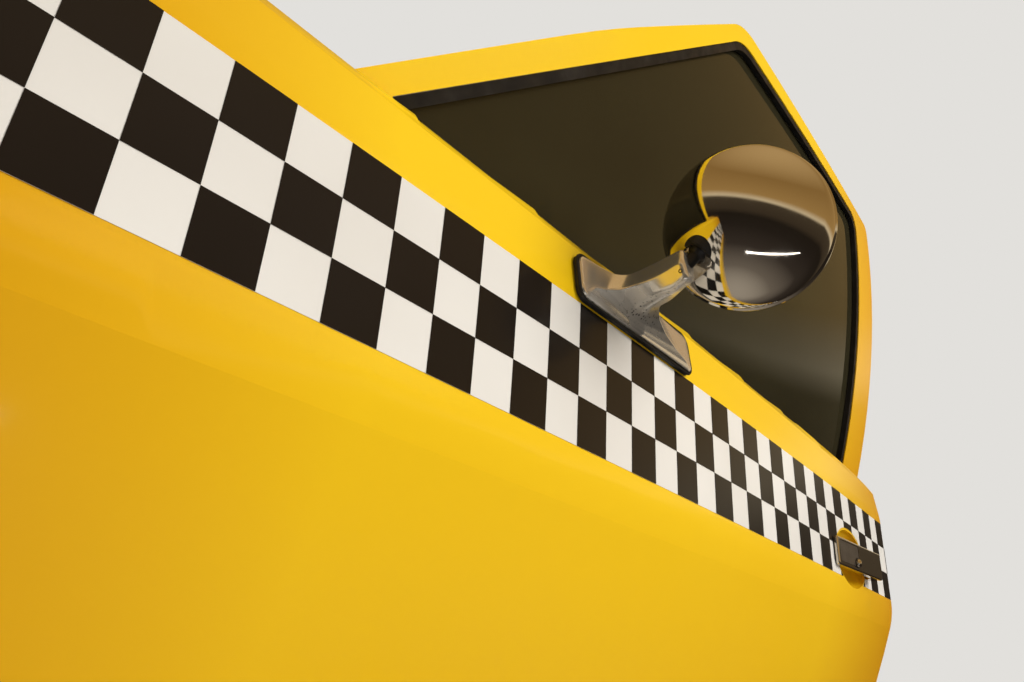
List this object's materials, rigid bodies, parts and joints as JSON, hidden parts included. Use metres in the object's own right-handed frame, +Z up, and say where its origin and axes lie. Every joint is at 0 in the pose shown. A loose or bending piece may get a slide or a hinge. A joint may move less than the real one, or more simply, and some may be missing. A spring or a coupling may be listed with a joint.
{
  "type": "taxi cab front door",
  "caption": "Left front door of a taxi cab with a checker band, round chrome mirror, framed window and pull handle; it swings on its hinges.",
  "frame": {"origin": "middle of the upper hinge's bolt pattern, on the face that meets the pillar", "axes": "+X to the rear of the vehicle, +Y inboard, +Z up; the painted outside faces -Y"},
  "size_m": [1.314, 0.3254, 1.0896],
  "materials": {
    "taxi_yellow": "glossy enamel",
    "band_white": "glossy vinyl film",
    "band_black": "glossy vinyl film",
    "window_glass": "clear, slightly tinted",
    "black_rubber": "matte",
    "painted_steel": "satin paint",
    "bright_steel": "zinc plated",
    "chrome": "polished, lightly pitted",
    "mirror_silver": "silvered glass",
    "black_metal": "black, greased",
    "dark_plastic": "fine grain",
    "trim_vinyl": "black grained vinyl"
  },
  "bodies": {
    "pillar_leaves": {"hinge_upper_pillar_leaf": "painted_steel", "hinge_lower_pillar_leaf": "painted_steel"},
    "door": {"outer_skin": "taxi_yellow", "inner_panel": "taxi_yellow", "window_frame": "taxi_yellow", "checker_band_white": "band_white", "checker_band_black": "band_black", "window_glass": "window_glass", "run_channel_seal": "black_rubber", "belt_seal_outer": "black_rubber", "belt_seal_inner": "black_rubber", "door_weatherstrip": "black_rubber", "hinge_upper_door_leaf": "painted_steel", "hinge_upper_pin": "bright_steel", "hinge_lower_door_leaf": "painted_steel", "hinge_lower_pin": "bright_steel", "mirror_foot": "chrome", "mirror_gasket": "black_rubber", "mirror_shell": "chrome", "mirror_rim": "chrome", "mirror_glass": "mirror_silver", "mirror_ball": "black_metal", "mirror_socket": "black_rubber", "handle_grip": "chrome", "handle_pad": "dark_plastic", "handle_lock": "chrome", "handle_gasket": "black_rubber", "latch_case": "bright_steel", "latch_plate": "bright_steel", "latch_fork": "bright_steel", "trim_panel": "trim_vinyl", "armrest": "trim_vinyl", "release_bezel": "dark_plastic", "release_lever": "chrome", "window_crank": "chrome", "crank_knob": "dark_plastic", "lock_button": "dark_plastic"}
  },
  "joints": [
    {"name": "door_swing", "type": "hinge", "parent": "pillar_leaves", "child": "door", "pos_m": [0.034, -0.065, 0], "axis": [0, 0, -1], "range_deg": [0, 68]}
  ]
}
